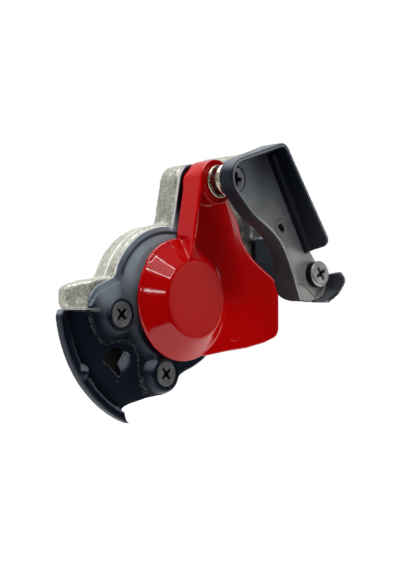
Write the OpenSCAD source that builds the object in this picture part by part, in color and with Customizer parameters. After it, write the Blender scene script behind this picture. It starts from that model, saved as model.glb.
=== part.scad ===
// Palm coupling head for an air brake line, with a swivelling dust cap.
// The head is drawn in its face frame (x right, y up, z out of the face, seal axis at 0,0)
// and then stood up: the origin is the mouth of the rear port, +Y points out of the port, +Z is up.

/* [Body casting] */
// Distance from the coupling face back to the mouth of the port
head_depth = 40; // [36:1:48]
// Depth of the cast flange behind the face plate
flange_t = 12.5; // [11:0.5:14]
// Depth of the cast arm that carries the pivot
arm_t = 11; // [9:0.5:12]
// Radius of the round upper left edge of the face
face_r = 34; // [33:0.5:35]
// Outside radius of the port boss
boss_r = 16; // [14:0.5:18]
// Core radius of the M22 x 1.5 port thread
port_r = 10.2; // [9.5:0.1:11]
// Depth of the port thread
port_len = 16; // [12:1:18]
// Radius of the air passage
passage_r = 8; // [6:0.5:9]

/* [Seal] */
// Outside diameter of the rubber seal
seal_d = 41; // [38:0.5:43]
// Depth of the seal behind the face
seal_depth = 8; // [6:0.5:10]
// How far the seal stands out of the face
seal_proud = 0.7; // [0.3:0.1:0.9]

/* [Face plate] */
// Sheet thickness of the face plate
plate_t = 2; // [1.5:0.1:2.4]
// Width of the lowered shoulder along the round edge
shoulder_w = 3.4; // [2.6:0.2:4]
// How far the shoulder lies behind the face
shoulder_drop = 1; // [0.6:0.1:1.4]
// Outside radius of the claw
claw_r = 57; // [55:0.5:59]
// Width of the raised rim along the claw
rim_w = 4; // [3:0.2:5]
// How far the top of the rim lies behind the face
rim_drop = 12.5; // [11:0.5:13]
// How far the channel inside the rim lies behind the face
channel_drop = 15; // [14:0.5:17]
// How far the foot of the skirt round the seal lies behind the face
skirt_drop = 4.5; // [3.5:0.5:6]
// How far the outer edge of the claw's plateau lies behind the face
plateau_drop = 9; // [8:0.5:10]

/* [Face screws] */
// Shank diameter of the face screws and the pivot screw
screw_d = 6; // [5:0.5:6]
// Head diameter of the countersunk screws
csk_d = 11; // [10:0.5:12]
// Length of the face screws
face_screw_l = 12; // [10:1:13]

/* [Pivot] */
// Place of the pivot, to the right of the seal axis
pivot_x = 12.5; // [11:0.5:14]
// Height of the pivot above the seal axis
pivot_y = 52.5; // [51:0.5:54]
// Outside diameter of the sleeve that the cap turns on
sleeve_d = 9; // [8:0.5:10]

/* [Dust cap] */
// Radius of the rim of the cap
cap_r = 27; // [26:0.5:28]
// Radius of the flat disc on the dome
disc_r = 17; // [15:0.5:19]
// Height of the cap over its rim's lower edge
cap_h = 9.2; // [8:0.2:10]
// Wall thickness of the cap
cap_wall = 2; // [1.6:0.1:2.4]
// Thickness of the wing
wing_t = 2.2; // [1.8:0.1:3]
// Radius of the hub
hub_r = 10; // [9:0.5:10.5]

/* [Bracket] */
// Sheet thickness of the bracket
bracket_t = 2.2; // [1.8:0.1:2.6]
// Distance from the face to the underside of the bracket at the pivot
bracket_gap = 19.8; // [19:0.2:22]
// Rise of the bracket's floor for each millimetre towards its open end
bracket_rise = 0.09; // [0.05:0.01:0.11]
// Height of the bracket's side wall at the pivot
wall_h = 8; // [7.2:0.2:10]
// Radius of the bracket's round end
round_r = 9.2; // [8.8:0.1:10]
// Height of the bracket's outer flange over the floor at its upper end
flange_h = 10; // [8:0.5:12]

/* [Spring] */
// Wire diameter of the cap spring
wire_d = 1.6; // [1.2:0.1:1.8]
// Outside diameter of the cap spring
spring_d = 15; // [14:0.5:16]
// Number of turns of the cap spring
spring_turns = 3; // [2.5:0.5:4]

/* [Detent screw] */
// Head diameter of the detent screw
detent_d = 12; // [10:0.5:12]
// Head height of the detent screw
detent_k = 4.4; // [3:0.2:5]

/* [Hidden] */
$fn = 64;
wide_fn = 128;

// Play between moving pieces, between still pieces, and between a screw and its hole
move_gap = 0.3;
fit_gap = 0.1;
run_gap = 0.05;
// Overlap that lets one cut run clear through a face, and a length beyond the whole part
cut = 1;
reach = 200;

// Face: centre of the round upper left edge, the line that parts it from the claw, and the screws
face_round = [-5.5, -1.5];
claw_top = -4.5;
upper_screw = [-34.2, -6.7];
lower_screw = [-8.4, -32.2];
pivot = [pivot_x, pivot_y];

// Casting: edge outside the plate, parting line, chamber behind the seal, left block, bracket's column
cast_proud = 0.3;
parting_proud = 0.9;
parting_z = -7.2;
parting_w = 1;
chamber_h = 8;
chamber_r = [21, 26];
block_end = -56.3;
block_back = 15.5;
column = pivot + [17, 7];
column_r = 7.3;
strut_end = [-27.5, -27];
strut_r = 6.5;
strut_z = [-19, -12.5];

// Arm that carries the pivot
arm_round = 9;
arm_lean = 0.19;
arm_right = 9.4;
arm_fillet = [-8, 36.7];
arm_fillet_r = 4;
arm_foot = 20;

// Pressed forms of the plate: the sheet's inner side is drawn in square to the steep skirts
claw_back = channel_drop + plate_t;
sheet_in = 0.9 * plate_t;
boss_top = 7.8;
boss_foot = 14;
post_r = boss_top - plate_t - move_gap;
boss_slope = (boss_foot - boss_top) / claw_back;
boss_wrap = 5.5;
skirt_top = 28.5;
skirt_foot = 30.3;
plateau_r = claw_r - 9.5;
plateau_fall = (plateau_drop - skirt_drop) / (plateau_r - skirt_foot);
channel_r = claw_r - 5.5;
bump_r = 3;
bump_dir = 215;

// Tail of the claw with its round notch
notch_r = 5.2;
notch = [-15.7, 7.8 - claw_r];
tail_x = -18;
tail_rise = 3.6;

// Tongue over the left block, heel between the lower boss and the cap, cut corner at the claw's upper end
tongue = [[-28, 13], [-39.2, 8.6], [-47.6, 4.6], [-50.6, 0.6]];
heel = [[-1, -33.6], [2.5, -31.9], [6.9, -30.2], [10.7, -28.5], [13.9, -26.8], [16.6, -25], [22, -21]];
claw_corner = [1.6, 4];

// Lanced pocket of the claw: middle and direction of the tab's hinge, thickness and lift of the tab
hinge = [-25.2, -30];
hinge_dir = -19.6;
hinge_half = 4.6;
tab_t = 1.2;
tab_lift = 17;

// Guide ear beside the claw gap
ear_r = 2.5;
ear_low = [51.5, 10];
ear_high = [60.5, 28.5];

seat_r = seal_d / 2 + fit_gap;
lip_w = 2.5;
lip_bevel = 0.8;
lip_r = seal_d / 2 - lip_w;
plate_hole_r = lip_r + move_gap;

// Cap: drafted rim, hub a little over the disc, side rib, gate mark on the disc
cap_z = seal_proud + move_gap;
cap_top = cap_z + cap_h;
hub_top = cap_top + 0.3;
rim_land = 1.2;
dome_r = cap_r - 1.4;
rib_foot = [-4.2, 17];
gate_r = 3.2;
gate_w = 0.5;
gate_depth = 0.25;

head_cone = (csk_d - screw_d) / 2;
head_land = 0.4;
screw_point = 0.8;
recess_size = 6.4;
recess_depth = 1.6;
recess_point = 1.4 * recess_depth;

// Bracket: the floor climbs from the pivot towards the open end
slope_axis = -49;
slope_dir = [cos(slope_axis), sin(slope_axis)];
level_run = 8;
floor_top = bracket_gap + bracket_t;
wall_top = bracket_gap + wall_h;
wall_climb = 0.022;
wall_cut = 4.2;
open_y = -0.4;
wall_dip = 3;
dip_y = [9, 18];

// Outer flange and the bracket's upper side
top_dir = 21.3;
top_run = 27.6;
flange_dir = -63.5;
flange_climb = 0.13;
flange_round = 4.5;
flange_run = 52.8;
flange_slant = 1.5;
bend_r = 4;
corner_r = 5;
top_start = pivot + round_r * [-sin(top_dir), cos(top_dir)];
corner = top_start + top_run * dir(top_dir);
flange_top = floor_top + flange_h;
flange_foot = corner + flange_run * [cos(flange_dir), sin(flange_dir)];
corner_run = corner_r * tan((top_dir - flange_dir) / 2);
corner_centre = corner - corner_run * [cos(top_dir), sin(top_dir)] + corner_r * [sin(top_dir), -cos(top_dir)];

// Lip at the open end, coined teardrop with its slot, place of the detent screw
lip_centre = [60, 9];
lip_base_r = 9;
lip_from = -95;
lip_to = 25;
lip_flare = 0.53;
lip_h = 11;
lip_cut_z = 5.6;
lip_slope = 15;
coin = [40.5, 33];
coin_r = 4;
coin_depth = 0.3;
slot = [3.8, 2, 1.4];
detent = [60.3, 12.5];
detent_grip = 2.4;

// Plan of the bracket's side wall: round end, then the inner curve down to the open end
round_to = 218;
wall_path = concat(arc(pivot, round_r, 90 + top_dir, round_to, 14),
    spline([pivot + round_r * dir(round_to), pivot + round_r * dir(round_to + 8), [10.5, 42], [17, 36.4],
        [25, 32.1], [31, 28.2], [36, 23], [39.5, 17], [42.3, 11], [44.8, 5], [47.2, open_y],
        [49, open_y - 4]]));

// Unit vector, Catmull-Rom point between p1 and p2, and an open curve through a short list of points
function dir(a) = [cos(a), sin(a)];
function spline_point(p0, p1, p2, p3, t) = 0.5 * (2 * p1 + (p2 - p0) * t
    + (2 * p0 - 5 * p1 + 4 * p2 - p3) * t * t + (3 * p1 - p0 - 3 * p2 + p3) * t * t * t);
function spline(p, steps = 6) = [for (i = [1 : len(p) - 3], k = [0 : steps - 1])
    spline_point(p[i - 1], p[i], p[i + 1], p[i + 2], k / steps), p[len(p) - 2]];
// Arc of points about a centre
function arc(centre, r, from, to, steps = 12) =
    [for (k = [0 : steps]) centre + r * dir(from + (to - from) * k / steps)];
// Curve pushed to its left by t, and a curve run backwards
function left_of(c, t) = [for (i = [0 : len(c) - 1])
    let (d = c[min(i + 1, len(c) - 1)] - c[max(i - 1, 0)], n = [-d[1], d[0]] / norm(d)) c[i] + t * n];
function reversed(c) = [for (i = [len(c) - 1 : -1 : 0]) c[i]];

// Stands the face frame up on the rear port
module stand_up() translate([0, -head_depth, 0]) rotate([90, 0, 0]) children();
module at(p, z = 0) translate([p[0], p[1], z]) children();

// Flat prism between two heights
module slab(low, high) translate([0, 0, low]) linear_extrude(high - low) children();

// Countersunk screw, head flush at z = 0, pointing down
module countersunk_screw(length) {
    rotate_extrude() polygon([[0, 0], [csk_d / 2, 0], [csk_d / 2, -head_land],
        [screw_d / 2, -head_land - head_cone], [screw_d / 2, screw_point - length],
        [screw_d / 2 - screw_point, -length], [0, -length]]);
}
// The hole that takes that screw
module countersunk_hole(length) {
    r = csk_d / 2 + fit_gap;
    rotate_extrude() polygon([[0, cut], [r, cut], [r, -head_land],
        [screw_d / 2 + run_gap, -head_land - head_cone - fit_gap + run_gap],
        [screw_d / 2 + run_gap, -length - cut], [0, -length - cut]]);
}
// Cross recess in a screw head
module cross_recess(turn) {
    arm = recess_size / 4.5;
    for (a = [0, 90]) rotate(turn + a) translate([-recess_size / 2, -arm / 2, -recess_depth])
        cube([recess_size, arm, recess_depth + cut]);
    translate([0, 0, -recess_point])
        cylinder(h = recess_point + cut, r1 = recess_size / 8, r2 = recess_size / 4);
}

// Outline of the arm that carries the pivot, its left side leaning out towards its foot
module arm_2d(grow = 0) {
    top = pivot - [arm_round / 2, 0.4];
    r = arm_round + grow;
    lean = atan(arm_lean);
    right = pivot[0] + arm_right;
    translate(top) circle(r = r);
    polygon([top + r * [-cos(lean), sin(lean)], [top[0] - r - arm_lean * (top[1] - arm_foot), arm_foot],
        [right, arm_foot], [right, top[1] + r + arm_right / 12], [top[0], top[1] + r]]);
}

// Upper left round of the face, above the claw
module face_round_2d(grow) intersection() {
    translate(face_round) circle(r = face_r + grow, $fn = wide_fn);
    translate([-reach, claw_top]) square([reach + pivot[0], reach]);
}

// Tongue of the plate over the left block, its upper side drawn in by inset
module tongue_2d(inset) polygon(concat([for (p = tongue) p - [0, inset]],
    [[tongue[3][0] - 1, claw_top], [tongue[0][0], claw_top]]));

// Space that the claw and the skirts of the bosses keep to
module claw_zone_2d() {
    edge = lower_screw[1] - boss_top - boss_slope * boss_wrap;
    top = claw_top - fit_gap;
    polygon(concat([[-reach, top - claw_corner[1]], [-claw_r - fit_gap, top - claw_corner[1]],
        [claw_corner[0] - claw_r, top], [0, top], [0, -20], [lower_screw[0], -22], [lower_screw[0], edge]],
        arc(notch, notch_r, 95, 232),
        [[tail_x, tail_rise - claw_r], [tail_x, -reach], [-reach, -reach]]));
}

// Flat outline of the plate in front of the casting, without its lowered shoulder
module plate_face_2d() {
    face_round_2d(-shoulder_w);
    tongue_2d(shoulder_w);
    circle(r = skirt_top, $fn = wide_fn);
    arm_2d();
    for (s = [upper_screw, lower_screw]) translate(s) circle(r = boss_top);
    polygon(concat([lower_screw, lower_screw - [0, boss_top - fit_gap]], heel, [[0, -20]]));
}

// Guide ear at the right, and the strip that joins it to the face
module ear_2d() {
    size = ear_high - ear_low;
    for (x = [ear_low[0], ear_high[0]]) translate([x, ear_high[1]]) circle(r = ear_r);
    translate(ear_low - [ear_r, 0]) square(size + [2 * ear_r, 0]);
    translate(ear_low) square(size + [0, ear_r]);
    polygon([[skirt_top - 8, ear_low[1] + 6], ear_low + [0, 6], ear_low + [size[0] + ear_r, 0],
        ear_low - [10, 16], [skirt_top - 8, -ear_low[1]]]);
}

// Solid under the pressed surface of the plate, drawn in by inset and dropped by drop
module pressed_form(inset, drop) translate([0, 0, -drop]) {
    for (s = [upper_screw, lower_screw]) at(s, -claw_back)
        cylinder(h = claw_back, r1 = boss_foot - inset, r2 = boss_top - inset);
    rotate_extrude($fn = wide_fn) polygon([[0, 0], [skirt_top - inset, 0], [skirt_foot - inset, -skirt_drop],
        [plateau_r - inset, -plateau_drop], [channel_r - inset, -channel_drop],
        [claw_r - inset, -channel_drop], [claw_r - inset, -claw_back], [0, -claw_back]]);
}

// Space of the lower boss outside the claw, where its skirt wraps the edge of the casting
module wrap_zone_2d() difference() {
    translate(lower_screw) circle(r = boss_foot);
    circle(r = skirt_top - fit_gap, $fn = wide_fn);
    translate([-reach, -reach]) square([reach + lower_screw[0], reach]);
}

// Frame of the lanced tab: y along its hinge, -x towards its free edge
module at_hinge() at(hinge, -skirt_drop - plateau_fall * (norm(hinge) - skirt_foot)) rotate(hinge_dir)
    children();

module face_plate() {
    color("#23272c") stand_up() difference() {
        union() {
            slab(-plate_t, 0) {
                plate_face_2d();
                ear_2d();
            }
            // Lowered shoulder along the round edge
            slab(-plate_t - shoulder_drop, -shoulder_drop) difference() {
                union() {
                    face_round_2d(0);
                    tongue_2d(0);
                }
                translate(face_round) circle(r = face_r - shoulder_w - sheet_in, $fn = wide_fn);
                arm_2d(fit_gap);
            }
            intersection() {
                union() {
                    slab(-claw_back, 0) claw_zone_2d();
                    slab(-boss_wrap, 0) wrap_zone_2d();
                }
                union() {
                    difference() {
                        pressed_form(0, 0);
                        pressed_form(sheet_in, plate_t);
                        at_hinge() slab(-reach, plate_t + cut)
                            polygon([[0, -hinge_half], [-13.2, 0], [-10.7, 6.5], [-7.2, 7.3],
                                [0, hinge_half]]);
                    }
                    slab(-claw_back, -rim_drop) difference() {
                        circle(r = claw_r, $fn = wide_fn);
                        circle(r = claw_r - rim_w, $fn = wide_fn);
                    }
                }
            }
            at_hinge() rotate([atan(plateau_fall), 0, 0]) rotate([0, tab_lift, 0]) slab(-tab_t, 0)
                polygon([[cut, -hinge_half], [cut, hinge_half], [-7, 6.9], [-7.8, 0.4]]);
            // Stop bump on the rim
            rotate(bump_dir) translate([claw_r - bump_r, 0, -rim_drop - bump_r / 2]) sphere(r = bump_r);
        }
        slab(-plate_t - cut, cut) circle(r = plate_hole_r);
        at(upper_screw) countersunk_hole(face_screw_l);
        at(lower_screw) countersunk_hole(face_screw_l);
        slab(-plate_t - cut, cut) translate(pivot) circle(r = screw_d / 2 + run_gap);
    }
}

module body() {
    flange_back = -plate_t - flange_t;
    color("#a9a79f") stand_up() difference() {
        union() {
            slab(flange_back, -plate_t - shoulder_drop) face_round_2d(cast_proud);
            slab(flange_back, -plate_t) circle(r = skirt_top - plate_t - move_gap);
            slab(parting_z, parting_z + parting_w) face_round_2d(parting_proud);
            slab(-plate_t - arm_t, -plate_t) {
                arm_2d();
                web_2d();
            }
            slab(-plate_t - arm_t, -plate_t - shoulder_drop) difference() {
                translate(arm_fillet - [0, 1.5 * arm_fillet_r]) square([1.2, 1.5] * arm_fillet_r);
                translate(arm_fillet) circle(r = arm_fillet_r);
            }
            left_block();
            // Screw posts, joined to the flange under the plate
            for (s = [upper_screw, lower_screw]) {
                at(s, flange_back) cylinder(h = flange_t - shoulder_drop, r = post_r);
                slab(flange_back, -plateau_drop) rotate(atan2(s[1], s[0])) translate([0, -post_r / 2])
                    square([norm(s), post_r]);
            }
            // Column that the bracket rests on beside the pivot
            at(column, -plate_t - arm_t) cylinder(h = bracket_gap + plate_t + arm_t, r = column_r);
            claw_strut();
            // Chamber behind the seal, and the port boss
            translate([0, 0, flange_back - chamber_h])
                cylinder(h = chamber_h + cut, r1 = chamber_r[0], r2 = chamber_r[1]);
            translate([0, 0, -head_depth]) cylinder(h = head_depth + flange_back, r = boss_r);
        }
        translate([0, 0, -seal_depth - fit_gap]) cylinder(h = seal_depth + cut, r = seat_r);
        translate([0, 0, -head_depth]) cylinder(h = head_depth, r = passage_r);
        translate([0, 0, -head_depth - cut]) cylinder(h = port_len + cut, r = port_r);
        at(upper_screw) countersunk_hole(plate_t + flange_t);
        at(lower_screw) countersunk_hole(plate_t + flange_t);
        at(pivot, -plate_t - arm_t - cut) cylinder(h = arm_t + 2 * cut, r = screw_d / 2 + run_gap);
    }
}

// Web that joins the arm, the bracket's column and the ground of the ear
module web_2d() polygon([[pivot[0], pivot[1] + arm_round], column + [3, 7], column + [column_r, 0], [42, 47],
    [55, 37], [57.5, 31], [57.5, ear_low[1] + 3], [48, 0], [30, -8], [0, 10]]);

// Cast block that backs the upper end of the claw
module left_block() {
    top = -plate_t - shoulder_drop;
    inner = -34;
    intersection() {
        slab(-block_back, top) polygon([[inner, 9.2], [-43.5, 8], [-47, 7.4], [block_end + 2.6, 5.6],
            [block_end, 3.8], [block_end, -2.8], [block_end + 1, claw_top], [inner, claw_top]]);
        translate([0, reach / 2, 0]) rotate([90, 0, 0]) linear_extrude(reach)
            polygon([[inner, 0], [-47.5, 0], [-49.5, top], [block_end - 2, -rim_drop],
                [block_end - 2, -block_back], [inner, -block_back]]);
    }
}

// Strut under the pocket of the claw
module claw_strut() slab(strut_z[0], strut_z[1]) {
    translate(strut_end) circle(r = strut_r);
    rotate(atan2(strut_end[1], strut_end[0])) translate([0, -strut_r]) square([norm(strut_end), 2 * strut_r]);
}

module seal_ring() {
    r = seal_d / 2;
    bore = passage_r + 1;
    color("#1b1b1b") stand_up() rotate_extrude() polygon([[bore, -seal_depth], [r, -seal_depth],
        [r, -plate_t - fit_gap], [lip_r, -plate_t - fit_gap], [lip_r, 0], [lip_r - lip_bevel, seal_proud],
        [bore + 3, seal_proud], [bore + 2, 0], [bore, -seal_depth / 2]]);
}

module upper_face_screw() color("#4a4a48") stand_up() at(upper_screw) difference() {
    countersunk_screw(face_screw_l);
    cross_recess(45);
}
module lower_face_screw() color("#4a4a48") stand_up() at(lower_screw) difference() {
    countersunk_screw(face_screw_l);
    cross_recess(40);
}

module pivot_sleeve() {
    color("#9a9a98") stand_up() at(pivot) difference() {
        cylinder(h = bracket_gap, r = sleeve_d / 2);
        translate([0, 0, -cut]) cylinder(h = bracket_gap + 2 * cut, r = screw_d / 2 + run_gap);
        translate([0, 0, floor_top]) countersunk_hole(floor_top);
    }
}

module cap() {
    // Outer edge of the wing, from the hub down along the bracket and round to the dome
    wing_edge = spline([[16, 62], [20, 58], [28, 45], [34, 37], [37.5, 28], [44.5, 20.6], [52, 15.9],
        [58.7, 12], [62.4, 8], [63.2, 3], [63.2, -2]]);
    lower_edge = [[53, -19.1], [40.4, -21.5], [26.7, -22.9], [12, -24.9], [0, -20]];
    rib = [[pivot[0] - hub_r, pivot[1]], rib_foot];
    inside_r = dome_r - cap_wall;
    inside_h = cap_h - wing_t - cap_wall;
    color("#b3161a") stand_up() difference() {
        union() {
            translate([0, 0, cap_z]) rotate_extrude($fn = wide_fn)
                polygon([[0, 0], [cap_r, 0], [cap_r, rim_land], [dome_r, wing_t], [disc_r, cap_h],
                    [0, cap_h]]);
            at(pivot, move_gap) cylinder(h = hub_top - move_gap, r = hub_r);
            slab(cap_z, cap_z + wing_t) polygon(concat([rib[0], pivot], wing_edge,
                arc([58, -12], 5.2, 0, -66, 8), lower_edge, [rib[1]]));
            slab(cap_z, hub_top) polygon([rib[0], rib[0] + [cap_wall, 0], rib[1] + [cap_wall, 0], rib[1]]);
        }
        // Inside of the dome
        translate([0, 0, cap_z]) rotate_extrude($fn = wide_fn) polygon([[0, -cut], [inside_r, -cut],
            [inside_r, wing_t], [disc_r - cap_wall / 2, wing_t + inside_h], [0, wing_t + inside_h]]);
        at(pivot) cylinder(h = hub_top + cut, r = sleeve_d / 2 + run_gap);
        // Gate mark in the middle of the disc
        slab(cap_top - gate_depth, cap_top + cut) difference() {
            circle(r = gate_r);
            circle(r = gate_r - gate_w);
        }
    }
}

// Wire coil, closed at both ends and stretched over half a turn: rings of points swept along a helix
module cap_spring() {
    sides = 8;
    per_turn = 22;
    rings = round(spring_turns * per_turn);
    start = -54;
    low = hub_top + move_gap + wire_d / 2;
    high = bracket_gap - 2 * fit_gap - wire_d / 2;
    closed = 0.9;
    open = 0.5;
    pitch = wire_d + fit_gap;
    top_turns = spring_turns - closed - open;
    stretch = high - low - pitch * top_turns;
    points = [for (i = [0 : rings], k = [0 : sides - 1])
        let (u = i / per_turn, a = start + 360 * u, b = 360 * k / sides,
            ease = min(1, max(0, (u - closed) / open)), r = (spring_d - wire_d) / 2 + wire_d / 2 * cos(b),
            rise = stretch * ease * ease * (3 - 2 * ease) + pitch * max(0, u - closed - open))
        [r * cos(a), r * sin(a), low + rise + wire_d / 2 * sin(b)]];
    faces = concat([[for (k = [0 : sides - 1]) k]],
        [for (i = [0 : rings - 1], k = [0 : sides - 1]) let (n = (k + 1) % sides)
            [i * sides + k, (i + 1) * sides + k, (i + 1) * sides + n, i * sides + n]],
        [[for (k = [sides - 1 : -1 : 0]) rings * sides + k]]);
    color("#c9b48c") stand_up() at(pivot) polyhedron(points, faces);
}

// How far the floor of the bracket has climbed at a point of the face frame
function floor_lift(p) = bracket_rise * max(0, (p - pivot) * slope_dir - level_run);

// Upright sheet along the line from p towards q, its profile drawn as distance along and height
module upright_sheet(p, q, profile) at(p) rotate(atan2(q[1] - p[1], q[0] - p[0]))
    rotate([90, 0, 0]) linear_extrude(bracket_t) polygon(profile);

// Stands a piece on the sloping floor of the bracket
module on_floor(p) at(p, floor_top + floor_lift(p)) rotate(slope_axis) rotate([0, -atan(bracket_rise), 0])
    children();

// Space between two heights, level round the pivot and then climbing towards the open end
module sloping_sheet(low, high, climb) {
    far = climb * (reach - level_run);
    at(pivot) rotate(slope_axis) translate([0, reach / 2, 0]) rotate([90, 0, 0]) linear_extrude(reach)
        polygon([[-reach, low], [level_run, low], [reach, low + far], [reach, high + far], [level_run, high],
            [-reach, high]]);
}

module bracket() {
    color("#2c3034") stand_up() difference() {
        union() {
            intersection() {
                slab(0, reach) bracket_floor_2d(bracket_t / 2);
                sloping_sheet(bracket_gap, floor_top, bracket_rise);
            }
            side_wall();
            top_wall();
            outer_flange();
            flange_bend();
            lead_in_lip();
        }
        at(pivot, floor_top) countersunk_hole(floor_top);
        // Coined teardrop and the blind slot in it
        on_floor(coin) {
            slab(-coin_depth, cut) {
                circle(r = coin_r);
                polygon([[-coin_r / 4, -coin_r], [9, 0.5], [-coin_r / 4, coin_r]]);
            }
            translate([-slot[0] / 2, -slot[1] / 2, -slot[2]]) cube(slot + [0, 0, cut]);
        }
        on_floor(detent) translate([0, 0, -bracket_t - cut])
            cylinder(h = bracket_t + 2 * cut, r = screw_d / 2 + run_gap);
    }
}

// Plan of the floor, its edge drawn in so that it ends inside the walls that stand round it
module bracket_floor_2d(inset) polygon(concat(left_of(wall_path, inset), [[lip_centre[0] - 3, open_y]],
    arc(lip_centre, lip_base_r - inset, -85, lip_to),
    [flange_foot + fit_gap * [sin(flange_dir), -cos(flange_dir)],
        flange_foot - corner_r * dir(flange_dir) + inset * [sin(flange_dir), -cos(flange_dir)]],
    arc(corner_centre, corner_r - inset, 90 + flange_dir, 90 + top_dir)));

// Wall along the round end and the inner curve, deeper and round-ended where it meets the open end
module side_wall() difference() {
    foot = bracket_gap - wall_dip;
    intersection() {
        slab(foot, reach) polygon(concat(wall_path, reversed(left_of(wall_path, bracket_t))));
        sloping_sheet(0, wall_top, wall_climb);
    }
    rotate([90, 0, 90]) linear_extrude(reach) polygon(concat([[reach, 0], [reach, bracket_gap],
        [dip_y[1], bracket_gap], [dip_y[0], foot]],
        [for (a = [90 : -10 : 0]) [open_y + wall_cut * (1 - cos(a)), wall_top - (wall_top - foot) * sin(a)]],
        [[open_y, wall_top + flange_h], [-reach, wall_top + flange_h], [-reach, 0]]));
}

// Wall along the bracket's upper side, climbing to the corner of the flange
module top_wall() {
    run = top_run - corner_run;
    upright_sheet(top_start, corner, [[0, bracket_gap], [run, bracket_gap], [run, flange_top],
        [0, wall_top]]);
}

// Outer flange, its free edge rounded at the lower end
module outer_flange() {
    top = flange_top + flange_climb * flange_run;
    slab(bracket_gap, flange_top) polygon(concat(arc(corner_centre, corner_r, 90 + flange_dir, 90 + top_dir),
        arc(corner_centre, corner_r - bracket_t, 90 + top_dir, 90 + flange_dir)));
    intersection() {
        upright_sheet(corner, flange_foot, concat([[corner_run, 0], [flange_run, 0],
            [flange_run, floor_top + flange_h / 2]],
            arc([flange_run - flange_slant - flange_round, top - flange_round], flange_round, 0, 90, 8),
            [[corner_run, flange_top]]));
        sloping_sheet(bracket_gap, reach, bracket_rise);
    }
}

// Round inside of the bend between the floor and the outer flange
module flange_bend() {
    top = corner + corner_run * dir(flange_dir);
    fall = atan2(floor_lift(flange_foot) - floor_lift(top), flange_run - corner_run);
    y = -bracket_t;
    at(top, floor_top + floor_lift(top)) rotate(flange_dir) rotate([0, -fall, 0]) rotate([90, 0, 90])
        linear_extrude(flange_run - corner_run - fit_gap) polygon(concat([[y + cut, bend_r], [y + cut, -cut],
            [y - bend_r, -cut]], arc([y - bend_r, bend_r], bend_r, -90, 0)));
}

// Flared lip that leads the mating claw in, cut flat at the open end and sloping at its free edge
module lead_in_lip() {
    low = bracket_gap + floor_lift(lip_centre);
    flare = lip_flare * lip_h;
    difference() {
        at(lip_centre, low) rotate(lip_from) rotate_extrude(angle = lip_to - lip_from)
            polygon([[lip_base_r - bracket_t, 0], [lip_base_r, 0], [lip_base_r + flare, lip_h],
                [lip_base_r + flare - bracket_t, lip_h]]);
        translate([lip_centre[0], open_y, low + lip_cut_z]) rotate([lip_slope, 0, 0])
            translate([-reach / 2, -reach / 2, 0]) cube(reach);
        translate([0, open_y - reach, 0]) cube(reach);
    }
}

module pivot_screw() color("#4a4a48") stand_up() at(pivot, floor_top) difference() {
    countersunk_screw(floor_top + plate_t + arm_t - cut);
    cross_recess(4);
}

module detent_screw() {
    shank = bracket_t + detent_grip;
    color("#4a4a48") stand_up() on_floor(detent) difference() {
        rotate_extrude() polygon([[0, detent_k], [detent_d / 2 - screw_point, detent_k],
            [detent_d / 2, detent_k - screw_point], [detent_d / 2, 0], [screw_d / 2, 0],
            [screw_d / 2, screw_point - shank], [screw_d / 2 - screw_point, -shank], [0, -shank]]);
        translate([0, 0, detent_k]) cross_recess(80);
    }
}

body();
seal_ring();
face_plate();
upper_face_screw();
lower_face_screw();
pivot_sleeve();
cap();
cap_spring();
bracket();
pivot_screw();
detent_screw();
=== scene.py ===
import math

import bmesh
import bpy
import numpy as np
from mathutils import Matrix, Vector


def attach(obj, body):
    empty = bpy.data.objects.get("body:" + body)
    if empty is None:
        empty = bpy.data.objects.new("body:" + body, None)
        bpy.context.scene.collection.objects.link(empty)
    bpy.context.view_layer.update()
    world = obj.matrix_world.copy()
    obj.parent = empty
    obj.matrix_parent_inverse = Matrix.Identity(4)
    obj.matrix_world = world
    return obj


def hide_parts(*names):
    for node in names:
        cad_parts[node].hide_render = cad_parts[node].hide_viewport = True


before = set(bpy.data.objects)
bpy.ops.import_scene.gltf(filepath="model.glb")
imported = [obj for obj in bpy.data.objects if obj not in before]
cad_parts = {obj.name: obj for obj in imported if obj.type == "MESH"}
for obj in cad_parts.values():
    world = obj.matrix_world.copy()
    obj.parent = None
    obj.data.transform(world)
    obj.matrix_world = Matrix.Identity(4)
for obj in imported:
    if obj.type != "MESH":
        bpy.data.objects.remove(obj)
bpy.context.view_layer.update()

# The body carries everything: a die casting in raw aluminium with a flange, an arm for the pivot and a
# threaded port behind. The die leaves round edges, a rubbed parting line and a sandy, streaked skin.
# Only the port is machined afterwards, so its mouth is bright and its wall is threaded.
FACE_PLANE = 0.040
RUB_SHARE = 0.5
BODY_GRAIN = 0.00075
BODY_PASSES = 6
CAST_TONES = [(0.36, (0.20, 0.196, 0.155, 1)), (0.50, (0.36, 0.353, 0.295, 1)), (0.64, (0.55, 0.54, 0.47, 1))]
CAST_RUBBED = (0.78, 0.775, 0.73, 1)
CAST_SAND = 1000.0
CAST_POCKET_SHADE = (0.035, 0.036, 0.030, 1)
CAST_CHIPS_SHADE_GLINT = [(0.42, (0.06, 0.06, 0.055, 1)), (0.56, (0.15, 0.148, 0.135, 1)), (0.66, (0.62, 0.61, 0.57, 1))]
PARTING_PLANE = -0.0333
POCKET = (-0.0270, -0.0280, -0.0290)
POCKET_FOOT = (-25.2, -33.0)
POCKET_FILL = 1.6
ROUGH_SPOT = (0.0475, -0.0380, 0.0345)
PORT_WALL = 0.0108
PORT_DEPTH = 0.016
PORT_RIM = 0.0165
PORT_BRIGHT = (0.62, 0.61, 0.58, 1)
THREAD_PITCH = 0.0015


def face_frame(points):
    """Points of the row frame as millimetres right, up and out of the coupling face."""
    return np.stack([points[:, 0], points[:, 2], -points[:, 1] - FACE_PLANE], 1) * 1000


def row_frame(points):
    """The way back from face_frame."""
    return np.stack([points[:, 0], -points[:, 2] - FACE_PLANE * 1000, points[:, 1]], 1) / 1000


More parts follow.
